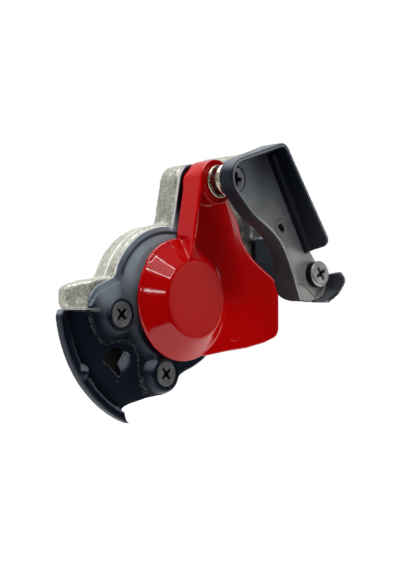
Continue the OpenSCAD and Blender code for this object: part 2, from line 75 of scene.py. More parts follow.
def corners(mesh):
    """A mesh's vertices as an array."""
    co = np.zeros(len(mesh.vertices) * 3, np.float32)
    mesh.vertices.foreach_get("co", co)
    return co.reshape(-1, 3).astype(np.float64)


def rub(points, ends, share, passes):
    """Draws each point towards the middle of its neighbours, by its share."""
    a, b = ends[:, 0], ends[:, 1]
    total = len(points)
    count = np.bincount(a, minlength=total) + np.bincount(b, minlength=total)
    for _ in range(passes):
        middle = np.stack([np.bincount(a, points[b, k], total) + np.bincount(b, points[a, k], total)
                           for k in range(3)], 1) / count[:, None]
        points = points + share[:, None] * (middle - points)
    return points


def softened_copy(node, name, grain, passes, form=None, ease=None, ease_passes=0):
    """A copy of a node's solid in an even mesh, rubbed smooth, with its edges marked.
    form moves the points, and where ease gives a share above 0 they are rubbed for more passes. Both
    work in the millimetres of face_frame."""
    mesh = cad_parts[node].data.copy()
    work = bmesh.new()
    work.from_mesh(mesh)
    bmesh.ops.remove_doubles(work, verts=work.verts, dist=2e-6)
    work.to_mesh(mesh)
    work.free()
    piece = bpy.data.objects.new(name, mesh)
    bpy.context.scene.collection.objects.link(piece)
    skin = piece.modifiers.new("skin", "REMESH")
    skin.mode = "VOXEL"
    skin.voxel_size = grain
    bpy.context.view_layer.update()
    seen = piece.evaluated_get(bpy.context.evaluated_depsgraph_get())
    mesh = bpy.data.meshes.new_from_object(seen)
    piece.modifiers.clear()
    piece.data = mesh
    ends = np.zeros(len(mesh.edges) * 2, np.int32)
    mesh.edges.foreach_get("vertices", ends)
    ends = ends.reshape(-1, 2)
    before = corners(mesh)
    after = rub(before, ends, np.full(len(before), RUB_SHARE), passes)
    mesh.vertices.foreach_set("co", after.astype(np.float32).ravel())
    mesh.update()
    normals = np.zeros(len(before) * 3, np.float32)
    mesh.vertices.foreach_get("normal", normals)
    lost = ((before - after) * normals.reshape(-1, 3)).sum(1) / grain
    edge = mesh.attributes.new("edge", "FLOAT", "POINT")
    edge.data.foreach_set("value", lost.astype(np.float32))
    if form:
        after = row_frame(form(face_frame(after)))
    if ease:
        after = rub(after, ends, RUB_SHARE * ease(face_frame(after)), ease_passes)
    mesh.vertices.foreach_set("co", after.astype(np.float32).ravel())
    mesh.update()
    mesh.shade_smooth()
    return piece


def new_material(name, **sockets):
    """A material with one Principled shader, its constant sockets set."""
    material = bpy.data.materials.new(name)
    material.use_nodes = True
    shader = material.node_tree.nodes["Principled BSDF"]
    for socket, value in sockets.items():
        shader.inputs[socket.replace("_", " ")].default_value = value
    return material, material.node_tree, shader


def add(tree, kind, values=(), **settings):
    """A node with its settings and its input values, given by socket name or number."""
    node = tree.nodes.new(kind)
    for key, value in settings.items():
        setattr(node, key, value)
    for socket, value in dict(values).items():
        if isinstance(value, bpy.types.NodeSocket):
            tree.links.new(value, node.inputs[socket])
        else:
            node.inputs[socket].default_value = value
    return node


def maths(tree, operation, a, b=0.0):
    """One sum on values or sockets."""
    return add(tree, "ShaderNodeMath", {0: a, 1: b}, operation=operation).outputs[0]


def times(tree, a, b):
    """The product of two values."""
    return maths(tree, "MULTIPLY", a, b)


def most(tree, a, b):
    """The larger of two values."""
    return maths(tree, "MAXIMUM", a, b)


def spread(tree, value, low, high, to_low=0.0, to_high=1.0):
    """A value taken smoothly from one range to another."""
    ends = {"Value": value, "From Min": low, "From Max": high, "To Min": to_low, "To Max": to_high}
    return add(tree, "ShaderNodeMapRange", ends, interpolation_type="SMOOTHSTEP").outputs[0]


def vectors(tree, operation, a, b, output="Vector"):
    """One sum on two vectors."""
    return add(tree, "ShaderNodeVectorMath", {0: a, 1: b}, operation=operation).outputs[output]


def scaled(tree, a, share):
    """A vector or a colour times a value."""
    return add(tree, "ShaderNodeVectorMath", {0: a, "Scale": share}, operation="SCALE").outputs["Vector"]


def distance(tree, a, b):
    """How far two points are apart."""
    return vectors(tree, "DISTANCE", a, b, "Value")


def apart(tree, vector):
    """The three values of a vector."""
    return add(tree, "ShaderNodeSeparateXYZ", {0: vector}).outputs


def from_axis(tree, axes, centre=(0, 0, 0)):
    """Distance from a line along the row's Y: the port's axis, or one through another centre."""
    return distance(tree, add(tree, "ShaderNodeCombineXYZ", {0: axes[0], 1: axes[2]}).outputs[0], centre)


def noise(tree, place, scale, detail, roughness=0.5):
    """A cloudy value over a place."""
    values = {"Vector": place, "Scale": scale, "Detail": detail, "Roughness": roughness}
    return add(tree, "ShaderNodeTexNoise", values).outputs["Fac"]


def blend(tree, share, a, b):
    """Two colours mixed by a share."""
    node = add(tree, "ShaderNodeMix", {"Factor": share}, data_type="RGBA")
    for socket, value in ((node.inputs[6], a), (node.inputs[7], b)):
        if isinstance(value, bpy.types.NodeSocket):
            tree.links.new(value, socket)
        else:
            socket.default_value = value
    return node.outputs[2]


def ramp(tree, value, stops):
    """A colour ramp over a value: (place, colour) pairs."""
    node = add(tree, "ShaderNodeValToRGB", {"Fac": value})
    for k, (place, colour) in enumerate(stops):
        stop = node.color_ramp.elements[k] if k < 2 else node.color_ramp.elements.new(place)
        stop.position = place
        stop.color = colour
    return node.outputs["Color"]


def surface(tree):
    """Where a point lies, its three values, how far it was rubbed down and the way it faces."""
    place = add(tree, "ShaderNodeTexCoord").outputs["Object"]
    edge = add(tree, "ShaderNodeAttribute", attribute_name="edge").outputs["Fac"]
    facing = apart(tree, add(tree, "ShaderNodeNewGeometry").outputs["Normal"])
    return place, apart(tree, place), edge, facing


def relief(tree, shader, height, strength, reach):
    """Links a height to the normal of a surface."""
    bump = add(tree, "ShaderNodeBump", {"Strength": strength, "Distance": reach, "Height": height})
    tree.links.new(bump.outputs["Normal"], shader.inputs["Normal"])


def effect(name, inputs, outputs):
    """An empty shared effect with named inputs and outputs, its tree and its two end nodes."""
    tree = bpy.data.node_groups.new(name, "ShaderNodeTree")
    for label, kind in inputs:
        tree.interface.new_socket(name=label, in_out="INPUT", socket_type=kind)
    for label in outputs:
        tree.interface.new_socket(name=label, in_out="OUTPUT", socket_type="NodeSocketFloat")
    return tree, tree.nodes.new("NodeGroupInput").outputs, tree.nodes.new("NodeGroupOutput").inputs


def use(tree, shared, **values):
    """The outputs of a shared effect, placed in a material with its own values."""
    return add(tree, "ShaderNodeGroup", values, node_tree=shared).outputs


def dress(piece, material):
    """Puts one material on a piece."""
    piece.data.materials.clear()
    piece.data.materials.append(material)


# Two sizes of grain on one scale
grain, ins, outs = effect("grain", [("Place", "NodeSocketVector"), ("Scale", "NodeSocketFloat")],
                          ["Fine", "Cloud"])
grain.links.new(noise(grain, ins["Place"], ins["Scale"], 4.0, 0.65), outs["Fine"])
grain.links.new(noise(grain, ins["Place"], times(grain, ins["Scale"], 0.12), 4.0, 0.6), outs["Cloud"])

# Edges that stand out and are rubbed, broken up by grain
wear, ins, outs = effect("edge_wear", [("Edge", "NodeSocketFloat"), ("Place", "NodeSocketVector"),
                                       ("From", "NodeSocketFloat"), ("To", "NodeSocketFloat")], ["Mask"])
chips = noise(wear, ins["Place"], 420.0, 5.0, 0.7)
ragged = times(wear, ins["Edge"], spread(wear, chips, 0.3, 0.7, 0.35, 1.65))
wear.links.new(spread(wear, ragged, ins["From"], ins["To"]), outs["Mask"])

cast, tree, shader = new_material("raw_casting")
place, axes, edge, facing = surface(tree)
sand = use(tree, grain, Place=place, Scale=CAST_SAND)
tone = maths(tree, "ADD", times(tree, sand["Fine"], 0.65), times(tree, sand["Cloud"], 0.35))

# Bright metal: streaks, flow lines on the arm, the ridge on the parting plane and rubbed edges
drawn = add(tree, "ShaderNodeMapping", {"Vector": place, "Rotation": (0.25, 0, 0), "Scale": (260, 520, 60)})
streak = spread(tree, noise(tree, drawn.outputs[0], 1.0, 3.0), 0.60, 0.68)
web = add(tree, "ShaderNodeTexVoronoi", {"Vector": place, "Scale": 80.0}, feature="DISTANCE_TO_EDGE")
patchy = times(tree, spread(tree, sand["Cloud"], 0.52, 0.62, 0.0, 0.7), spread(tree, axes[2], 0.028, 0.034))
flow = times(tree, spread(tree, web.outputs["Distance"], 0.03, 0.0), patchy)
on_flange = times(tree, spread(tree, axes[2], 0.004, 0.012), spread(tree, axes[2], 0.038, 0.033))
off = maths(tree, "ABSOLUTE", maths(tree, "SUBTRACT", axes[1], PARTING_PLANE))
plain = times(tree, on_flange, spread(tree, sand["Cloud"], 0.40, 0.52, 0.5, 1.0))
faint = spread(tree, sand["Cloud"], 0.50, 0.60, 0.0, 0.5)
ridge = times(tree, spread(tree, off, 0.0007, 0.0002), most(tree, plain, faint))
rubbed = use(tree, wear, Edge=edge, Place=place, From=0.16, To=0.60)["Mask"]
bright = most(tree, most(tree, times(tree, streak, 0.4), flow), most(tree, ridge, rubbed))
raw = blend(tree, times(tree, bright, 0.85), ramp(tree, tone, CAST_TONES), CAST_RUBBED)

# Below the arm the skin is painted paler, as painted light, and the flange is darker in front of the parting
# plane
in_front = spread(tree, axes[1], PARTING_PLANE - 0.0003, PARTING_PLANE - 0.0007, 0.0, 0.20)
painted_light_below_arm = spread(tree, axes[2], 0.036, 0.030, 1.0, 1.36)
raw = scaled(tree, raw, times(tree, painted_light_below_arm, maths(tree, "SUBTRACT", 1.0, times(tree, on_flange, in_front))))

# Painted shade on the casting behind the lanced pocket, and a rough, chipped spot under the bracket, its dark
# and bright mottling partly rough skin and partly painted shade and painted glints
front = spread(tree, facing[1], -0.2, -0.6)
pocket_shade = times(tree, front, spread(tree, distance(tree, place, POCKET), 0.016, 0.012))
raw = blend(tree, pocket_shade, raw, CAST_POCKET_SHADE)
chipped_shade_glint = times(tree, front, spread(tree, distance(tree, place, ROUGH_SPOT), 0.0125, 0.0060))
raw = blend(tree, chipped_shade_glint, raw, ramp(tree, noise(tree, place, 330.0, 3.0, 0.6), CAST_CHIPS_SHADE_GLINT))

# The machined port: its wall and the rim of its mouth
radius = from_axis(tree, axes)
in_port = times(tree, spread(tree, radius, PORT_WALL, PORT_WALL - 0.0002),
                spread(tree, axes[1], -PORT_DEPTH, -PORT_DEPTH + 0.0005))
on_rim = times(tree, spread(tree, axes[1], -0.0004, -0.0002),
               spread(tree, radius, PORT_RIM, PORT_RIM - 0.001))
mouth = most(tree, in_port, on_rim)
thread = times(tree, in_port, maths(tree, "PINGPONG", axes[1], THREAD_PITCH / 2))

tree.links.new(blend(tree, mouth, raw, PORT_BRIGHT), shader.inputs["Base Color"])
tree.links.new(spread(tree, mouth, 0, 1, 0.45, 1.0), shader.inputs["Metallic"])
tree.links.new(maths(tree, "SUBTRACT", spread(tree, sand["Cloud"], 0.3, 0.7, 0.46, 0.6),
                     times(tree, most(tree, mouth, bright), 0.18)), shader.inputs["Roughness"])
skin = times(tree, maths(tree, "ADD", tone, times(tree, streak, 0.5)), 0.00022)
relief(tree, shader, maths(tree, "ADD", skin, thread), 0.7, 1.0)


def body_form(p):
    """Lets the casting down a little behind the lanced pocket, which it closes."""
    d = np.hypot(p[:, 0] - POCKET_FOOT[0], p[:, 1] - POCKET_FOOT[1])
    near = np.clip(2 - d / 3, 0, 1) * (p[:, 2] < -9)
    return p - np.stack([0 * near, POCKET_FILL * near, 0 * near], 1)


body = softened_copy("body", "cast_body", BODY_GRAIN, BODY_PASSES, body_form)
dress(body, cast)
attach(body, "head")
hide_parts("body")

# The seal is a moulded rubber ring, pushed into its seat from the front before the plate goes on.
# It is matt black, with faint rings from the mould and a trace of dust.
RUBBER_TONES = [(0.35, (0.010, 0.010, 0.010, 1)), (0.70, (0.030, 0.029, 0.028, 1))]
rubber, tree, shader = new_material("seal_black", Specular_IOR_Level=0.35)
place = add(tree, "ShaderNodeTexCoord").outputs["Object"]
skin = use(tree, grain, Place=place, Scale=900.0)
rings = add(tree, "ShaderNodeTexWave", {"Vector": place, "Scale": 160.0}, wave_type="RINGS",
            rings_direction="Y")
tree.links.new(ramp(tree, skin["Cloud"], RUBBER_TONES), shader.inputs["Base Color"])
tree.links.new(spread(tree, skin["Cloud"], 0.3, 0.7, 0.55, 0.75), shader.inputs["Roughness"])
relief(tree, shader, maths(tree, "ADD", skin["Fine"], rings.outputs["Fac"]), 0.3, 0.00005)
dress(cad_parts["seal_ring"], rubber)

# The face plate is pressed from steel sheet and painted black. The press leaves soft bosses round the
# screws, a recessed claw with a rim and a lanced tab; the paint is thin and grey in the creases.
PLATE_GRAIN = 0.00048
PLATE_PASSES = 8
PLATE_EASE_PASSES = 9
PLATE_SHEET = 2.0
PLATE_WIDER = 1.4
PLATE_BLACK = (0.0012, 0.0022, 0.0090, 1)
# The next colour is a painted sheen
PLATE_SHEEN = (0.360, 0.420, 0.480, 1)
PLATE_WORN = (0.15, 0.15, 0.145, 1)
PLATE_CUT = [(0.35, (0.24, 0.236, 0.195, 1)), (0.65, (0.52, 0.51, 0.45, 1))]
PLATE_CORNER_HIGHLIGHT = (0.85, 0.85, 0.82, 1)
PLATE_DUST = (0.4, 0.4, 0.38, 1)
SCREW_PLACES = ((-34.2, -6.7), (-8.4, -32.2))
FACE_ROUND = (-5.5, -1.5)
BAND_IN = 25.5
BAND_FALL = 1.15
SHOULDER_IN = 30.6
SHOULDER_OUT = 34.0
SHOULDER_STEP = 1.0
SHOULDER_FOLD = 0.45
SHOULDER_FALL = 1.1
TAB_HINGE = (-25.2, -30.0)
TAB_FACE = (-0.0292, -0.0352, -0.0268)
TONGUE = (-0.0415, -0.0390, 0.0035)
CREASE = ((-45.6, -4.7), (-44.3, -10.5), (-42.0, -15.0), (-38.3, -18.0), (-33.9, -18.6), (-29.6, -17.8),
          (-25.5, -18.3), (-22.5, -21.0), (-20.2, -25.7), (-19.0, -31.7), (-16.9, -37.8), (-13.9, -41.3))
CREASE_DEPTH = 0.7
CREASE_WIDTH = 0.8


def step(value, low, high):
    """0 below low, 1 above high, smooth between."""
    t = np.clip((value - low) / (high - low), 0, 1)
    return t * t * (3 - 2 * t)


def to_crease(p):
    """Distance from the crease at the foot of the bosses, seen from the front."""
    near = np.full(len(p), np.inf)
    for a, b in zip(CREASE, CREASE[1:]):
        run = np.subtract(b, a)
        share = np.clip((p[:, :2] - a) @ run / (run @ run), 0, 1)
        near = np.minimum(near, np.linalg.norm(p[:, :2] - a - share[:, None] * run, axis=1))
    return near


def plate_form(p):
    """Makes the lowered shoulder and the band beside the cap convex, widens the right edge and presses
    in the crease."""
    r = np.hypot(p[:, 0] - FACE_ROUND[0], p[:, 1] - FACE_ROUND[1])
    inner = BAND_FALL * np.clip((r - BAND_IN) / (SHOULDER_IN - BAND_IN), 0, 1) ** 2
    s = np.clip((r - SHOULDER_IN) / (SHOULDER_OUT - SHOULDER_IN), 0, 1)
    outer = SHOULDER_FOLD * (1 - step(s, 0, 0.35)) + SHOULDER_FALL * s * s
    foot = np.where(r < SHOULDER_IN, -PLATE_SHEET, -PLATE_SHEET - SHOULDER_STEP)
    fall = np.where(r < SHOULDER_IN, inner, outer) * step(p[:, 1], 9, 14) * step(-p[:, 0], 3, 6)
    thinner = (PLATE_SHEET - fall) / PLATE_SHEET
    p = p.copy()
    p[:, 0] += PLATE_WIDER * step(p[:, 0], 56, 60) * step(p[:, 1], 2, 6)
    p[:, 2] = np.where(p[:, 2] > foot, foot + (p[:, 2] - foot) * thinner, p[:, 2])
    p[:, 2] -= CREASE_DEPTH * np.exp(-(to_crease(p) / CREASE_WIDTH) ** 2)
    return p


def plate_ease(p):
    """Share of the slow rubbing: the skirts of the bosses and of the seal, and the shoulder."""
    share = np.zeros(len(p))
    for x, y in SCREW_PLACES:
        d = np.hypot(p[:, 0] - x, p[:, 1] - y)
        share = np.maximum(share, step(d, 6.2, 7.4) * step(-d, -17, -13))
    r = np.hypot(p[:, 0], p[:, 1])
    skirt = step(r, 26, 28) * step(-r, -40, -35) * step(-p[:, 1], 0, 6) * step(-p[:, 0], -8, 0)
    r = np.hypot(p[:, 0] - FACE_ROUND[0], p[:, 1] - FACE_ROUND[1])
    shoulder = 0.5 * step(r, 27, 29) * step(-r, -32.5, -31.5) * step(p[:, 1], -4, 0)
    tab = np.hypot(p[:, 0] - TAB_HINGE[0] + 4, p[:, 1] - TAB_HINGE[1])
    return np.maximum(np.maximum(share, skirt), shoulder) * step(tab, 5, 10)


# Bright specks of dust, few and small
specks, ins, outs = effect("specks", [("Place", "NodeSocketVector"), ("Scale", "NodeSocketFloat"),
                                      ("Size", "NodeSocketFloat")], ["Mask"])
cells = add(specks, "ShaderNodeTexVoronoi", {"Vector": ins["Place"], "Scale": ins["Scale"]}).outputs
chance = add(specks, "ShaderNodeSeparateColor", {0: cells["Color"]}).outputs[0]
dot = spread(specks, cells["Distance"], ins["Size"], 0.0)
specks.links.new(times(specks, spread(specks, chance, 0.86, 0.88), dot), outs["Mask"])

# Painted sheen: a pale colour that stands in for reflected light on what faces upwards, thicker in patches
painted_sheen_group, ins, outs = effect("painted_sheen_up", [("Place", "NodeSocketVector"), ("Facing", "NodeSocketFloat"),
                                          ("From", "NodeSocketFloat"), ("To", "NodeSocketFloat")], ["Mask"])
patch = spread(painted_sheen_group, noise(painted_sheen_group, ins["Place"], 130.0, 5.0, 0.6), 0.25, 0.60, 0.6, 1.0)
upward = spread(painted_sheen_group, ins["Facing"], ins["From"], ins["To"])
painted_sheen_group.links.new(times(painted_sheen_group, upward, patch), outs["Mask"])

# A thin ring about a centre, seen along the row's Y
ring, ins, outs = effect("ring_mark", [("Place", "NodeSocketVector"), ("Centre", "NodeSocketVector"),
                                       ("Radius", "NodeSocketFloat"), ("Width", "NodeSocketFloat")], ["Mask"])
off = vectors(ring, "SUBTRACT", ins["Place"], ins["Centre"])
length = distance(ring, vectors(ring, "MULTIPLY", off, (1, 0, 1)), (0, 0, 0))
gap = maths(ring, "ABSOLUTE", maths(ring, "SUBTRACT", length, ins["Radius"]))
ring.links.new(spread(ring, gap, ins["Width"], 0.0), outs["Mask"])

# A straight line between two points, seen along the row's Y
line, ins, outs = effect("line_mark", [("Place", "NodeSocketVector"), ("From", "NodeSocketVector"),
                                       ("To", "NodeSocketVector"), ("Width", "NodeSocketFloat")], ["Mask"])
off = vectors(line, "SUBTRACT", vectors(line, "MULTIPLY", ins["Place"], (1, 0, 1)), ins["From"])
run = vectors(line, "SUBTRACT", ins["To"], ins["From"])
reached = vectors(line, "DOT_PRODUCT", off, run, "Value")
whole = vectors(line, "DOT_PRODUCT", run, run, "Value")
share = add(line, "ShaderNodeClamp", {0: maths(line, "DIVIDE", reached, whole)}).outputs[0]
gap = distance(line, off, scaled(line, run, share))
line.links.new(spread(line, gap, ins["Width"], 0.0), outs["Mask"])

plate_paint, tree, shader = new_material("plate_black", Specular_IOR_Level=0.38,
                                         Specular_Tint=(0.70, 0.85, 1.0, 1))
place, axes, edge, facing = surface(tree)
skin = use(tree, grain, Place=place, Scale=500.0)
radius = from_axis(tree, axes)
out = from_axis(tree, axes, (FACE_ROUND[0] / 1000, FACE_ROUND[1] / 1000, 0))

# Thin paint, on the edges and in flecks along the hollows
rubbed = use(tree, wear, Edge=edge, Place=place, From=0.25, To=1.4)["Mask"]
hollow = use(tree, wear, Edge=times(tree, edge, -1.0), Place=place, From=0.12, To=0.6)["Mask"]
flecks = spread(tree, skin["Fine"], 0.52, 0.66)
thin = most(tree, times(tree, rubbed, 0.35), times(tree, hollow, flecks))

# Painted sheen, a pale colour that stands in for reflected light, on what faces up, on the face beside the
# cap, on the lanced tab and above the upper screw
up_facing_sheen = use(tree, painted_sheen_group, Place=place, Facing=facing[2], From=0.04, To=0.42)["Mask"]
up_facing_sheen = times(tree, up_facing_sheen, spread(tree, axes[2], -0.036, -0.018, 0.34, 0.60))
on_face = times(tree, spread(tree, radius, 0.0420, 0.0285), spread(tree, axes[1], -0.0375, -0.0388))
upper = times(tree, spread(tree, axes[2], -0.018, 0.006), spread(tree, skin["Cloud"], 0.3, 0.7, 0.75, 1.0))
face_sheen = times(tree, times(tree, on_face, upper), spread(tree, axes[2], 0.000, 0.012, 0.42, 1.0))
pale = most(tree, up_facing_sheen, face_sheen)
pale = most(tree, pale, spread(tree, distance(tree, place, TAB_FACE), 0.0055, 0.0020, 0.0, 0.26))
pale = most(tree, pale, spread(tree, distance(tree, place, TONGUE), 0.0120, 0.0030, 0.0, 0.52))

# Painted shade: the painted sheen is thinner in hollows, at the fold of the shoulder, round the screws and in
# the crease
pale = times(tree, pale, spread(tree, edge, -0.70, -0.20, 0.30, 1.0))
fold = maths(tree, "ABSOLUTE", maths(tree, "SUBTRACT", out, SHOULDER_IN / 1000 + 0.0002))
pale = times(tree, pale, most(tree, spread(tree, fold, 0.0002, 0.0012, 0.12, 1.0),
                              spread(tree, axes[2], 0.012, 0.008)))
for x, z in SCREW_PLACES:
    gap = use(tree, ring, Place=place, Centre=(x / 1000, 0, z / 1000), Radius=0.0058, Width=0.0012)["Mask"]
    pale = times(tree, pale, spread(tree, gap, 0.0, 0.6, 1.0, 0.0))
foot = 0.0
for (x0, z0), (x1, z1) in zip(CREASE, CREASE[1:]):
    ends = {"From": (x0 / 1000, 0, z0 / 1000), "To": (x1 / 1000, 0, z1 / 1000)}
    foot = most(tree, foot, use(tree, line, Place=place, Width=0.0014, **ends)["Mask"])
pale = times(tree, pale, spread(tree, foot, 0.1, 0.6, 1.0, 0.3))
colour = blend(tree, pale, PLATE_BLACK, PLATE_SHEEN)
dots = spread(tree, noise(tree, place, 1500.0, 2.0), 0.46, 0.62, 0.0, 0.55)
fringe = times(tree, spread(tree, foot, 0.50, 0.85), dots)
colour = blend(tree, most(tree, thin, fringe), colour, PLATE_WORN)

# The cut edge of the shoulder is bare, with a painted highlight as a bright line on its corner
rim = times(tree, spread(tree, out, 0.0325, 0.0331), spread(tree, axes[2], 0.006, 0.010))
rim = times(tree, rim, spread(tree, axes[0], 0.004, 0.000))
cut = times(tree, rim, spread(tree, facing[1], -0.80, -0.60))
colour = blend(tree, cut, colour, ramp(tree, skin["Fine"], PLATE_CUT))
colour = blend(tree, times(tree, rim, spread(tree, edge, 0.15, 0.5)), colour, PLATE_CORNER_HIGHLIGHT)
dust = use(tree, specks, Place=place, Scale=240.0, Size=0.09)["Mask"]
colour = blend(tree, times(tree, dust, 0.5), colour, PLATE_DUST)
tree.links.new(colour, shader.inputs["Base Color"])
sunk = times(tree, spread(tree, axes[1], -0.0385, -0.0345), spread(tree, radius, 0.0535, 0.0525))
dull = most(tree, times(tree, thin, 0.3), times(tree, sunk, 0.6))
tree.links.new(maths(tree, "ADD", spread(tree, skin["Cloud"], 0.3, 0.7, 0.30, 0.38), dull),
               shader.inputs["Roughness"])
relief(tree, shader, maths(tree, "ADD", skin["Cloud"], times(tree, fringe, 2.0)), 0.25, 0.00006)

plate = softened_copy("face_plate", "pressed_face_plate", PLATE_GRAIN, PLATE_PASSES,
                      plate_form, plate_ease, PLATE_EASE_PASSES)
dress(plate, plate_paint)
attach(plate, "head")
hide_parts("face_plate")

# Two countersunk steel screws hold the plate on the casting. They are forged with a cross recess and
# plated in black zinc, which is rubbed brighter on the rim of the head; the recess is painted dark as painted
# shade.
SCREW_GRAIN = 0.00022
SCREW_PASSES = 3
ZINC_TONES = [(0.35, (0.16, 0.166, 0.168, 1)), (0.65, (0.30, 0.308, 0.31, 1))]
ZINC_RUBBED = (0.55, 0.55, 0.53, 1)
ZINC_RECESS_SHADE = (0.012, 0.012, 0.012, 1)


def zinc_material(name, face_point, face_normal, tones=ZINC_TONES):
    """Black zinc, with painted shade below the head's face, which is given by a point and its outward normal.
    """
    material, tree, shader = new_material(name, Metallic=0.75)
    place = add(tree, "ShaderNodeTexCoord").outputs["Object"]
    edge = add(tree, "ShaderNodeAttribute", attribute_name="edge").outputs["Fac"]
    skin = use(tree, grain, Place=place, Scale=1100.0)
    rubbed = use(tree, wear, Edge=edge, Place=place, From=0.2, To=0.9)["Mask"]
    depth = vectors(tree, "DOT_PRODUCT", vectors(tree, "SUBTRACT", face_point, place), face_normal, "Value")
    colour = blend(tree, rubbed, ramp(tree, skin["Cloud"], tones), ZINC_RUBBED)
    colour = blend(tree, spread(tree, depth, 0.0003, 0.0009), colour, ZINC_RECESS_SHADE)
    tree.links.new(colour, shader.inputs["Base Color"])
    tree.links.new(spread(tree, skin["Fine"], 0.3, 0.7, 0.34, 0.5), shader.inputs["Roughness"])
    relief(tree, shader, skin["Fine"], 0.3, 0.00004)
    return material


face_zinc = zinc_material("face_screw_zinc", (0, -FACE_PLANE, 0), (0, -1, 0))
for node in ("upper_face_screw", "lower_face_screw"):
    screw = softened_copy(node, node.replace("face", "plate"), SCREW_GRAIN, SCREW_PASSES)
    dress(screw, face_zinc)
    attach(screw, "head")
    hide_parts(node)

# The sleeve is turned from steel and stands on the plate round the pivot screw. The cap turns on it,
# so it is bright, with fine rings from the tool.
SLEEVE_TONES = [(0.3, (0.36, 0.35, 0.33, 1)), (0.7, (0.55, 0.54, 0.52, 1))]
sleeve_steel, tree, shader = new_material("turned_steel", Metallic=1.0)
place = add(tree, "ShaderNodeTexCoord").outputs["Object"]
skin = use(tree, grain, Place=place, Scale=700.0)
tool = add(tree, "ShaderNodeTexWave", {"Vector": place, "Scale": 900.0, "Distortion": 0.4},
           bands_direction="Y")
tree.links.new(ramp(tree, skin["Cloud"], SLEEVE_TONES), shader.inputs["Base Color"])
tree.links.new(spread(tree, skin["Fine"], 0.3, 0.7, 0.22, 0.36), shader.inputs["Roughness"])
relief(tree, shader, tool.outputs["Fac"], 0.3, 0.00003)
dress(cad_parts["pivot_sleeve"], sleeve_steel)

# The dust cap is one moulding in red gloss plastic: a domed cup, a hub on the sleeve, a side rib and a
# wing. The disc on the dome is eroded matt in the mould, and round ejector marks show on the wing.
CAP_GRAIN = 0.00042
CAP_PASSES = 5
CAP_EASE_PASSES = 24
CAP_RED = (0.53, 0.0005, 0.001, 1)
CAP_MATT = (0.50, 0.005, 0.004, 1)
DISC_RADIUS = 0.0171
DISC_PLANE = -0.0499
EJECTOR_MARKS = ((0.0361, 0.0042), (0.0320, -0.0132))
EJECTOR_RADIUS = 0.0048
GATE_RADIUS = 0.0030
RIB_TOP = (2.5, 52.5)
RIB_FOOT = (-4.2, 17.0)
RIB_FRONT = 10.2
RIB_DEPTH = 9.2
RIB_DRAFT = 1.8

red, tree, shader = new_material("cap_gloss")
place = add(tree, "ShaderNodeTexCoord").outputs["Object"]
axes = apart(tree, place)
skin = use(tree, grain, Place=place, Scale=800.0)
matt = times(tree, spread(tree, from_axis(tree, axes), DISC_RADIUS, DISC_RADIUS - 0.0004),
             spread(tree, axes[1], DISC_PLANE + 0.0003, DISC_PLANE))
tree.links.new(blend(tree, matt, CAP_RED, CAP_MATT), shader.inputs["Base Color"])
tree.links.new(maths(tree, "ADD", spread(tree, matt, 0, 1, 0.06, 0.42),
                     spread(tree, skin["Cloud"], 0.35, 0.65, 0.0, 0.04)), shader.inputs["Roughness"])
marks = use(tree, ring, Place=place, Centre=(0, 0, 0), Radius=GATE_RADIUS, Width=0.0004)["Mask"]
for x, z in EJECTOR_MARKS:
    mark = use(tree, ring, Place=place, Centre=(x, 0, z), Radius=EJECTOR_RADIUS, Width=0.0003)["Mask"]
    lower = spread(tree, axes[2], z - 0.0016, z - 0.0040)
    marks = most(tree, marks, times(tree, lower, mark))
eroded = times(tree, times(tree, matt, skin["Fine"]), 0.00003)
relief(tree, shader, maths(tree, "SUBTRACT", eroded, times(tree, marks, 0.00008)), 0.6, 1.0)


def cap_form(p):
    """Gives the outer face of the rib its draft: it stands further out at the back than in front."""
    line = np.interp(p[:, 1], [RIB_FOOT[1], RIB_TOP[1]], [RIB_FOOT[0], RIB_TOP[0]])
    near = step(line - p[:, 0], -2.4, -0.4) * step(p[:, 1], 14, 18) * step(-p[:, 1], -60, -53)
    near *= step(np.hypot(p[:, 0], p[:, 1]), 25.5, 28.5) * np.clip((RIB_FRONT - p[:, 2]) / RIB_DEPTH, 0, 1)
    return p - RIB_DRAFT * np.stack([near, 0 * near, 0 * near], 1)


def cap_ease(p):
    """Share of the slow rubbing: the outer edge of the dome and the edge of its disc."""
    r = np.hypot(p[:, 0], p[:, 1])
    dome = step(r, 22.5, 24.5) * step(-r, -26.4, -25.8)
    disc = 0.6 * step(r, 15.5, 16.5) * step(-r, -18.5, -17.5)
    return np.maximum(dome, disc) * step(p[:, 2], 2.4, 3.0)


cap = softened_copy("cap", "red_dust_cap", CAP_GRAIN, CAP_PASSES, cap_form, cap_ease, CAP_EASE_PASSES)
dress(cap, red)
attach(cap, "cap")
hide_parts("cap")

# The spring is wound from drawn steel wire and sits on the sleeve between the hub and the bracket.
# The wire is bright, with a finely grained skin from drawing and a faint straw tint.
WIRE_GRAIN = 0.00026
WIRE_PASSES = 5
WIRE_TONES = [(0.35, (0.42, 0.37, 0.29, 1)), (0.65, (0.68, 0.63, 0.54, 1))]
wire, tree, shader = new_material("drawn_wire", Metallic=1.0)
place = add(tree, "ShaderNodeTexCoord").outputs["Object"]
skin = use(tree, grain, Place=place, Scale=900.0)
tree.links.new(ramp(tree, skin["Cloud"], WIRE_TONES), shader.inputs["Base Color"])
tree.links.new(spread(tree, skin["Fine"], 0.3, 0.7, 0.2, 0.34), shader.inputs["Roughness"])
relief(tree, shader, skin["Fine"], 0.2, 0.00003)
spring = softened_copy("cap_spring", "wound_spring", WIRE_GRAIN, WIRE_PASSES)
dress(spring, wire)
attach(spring, "head")
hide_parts("cap_spring")
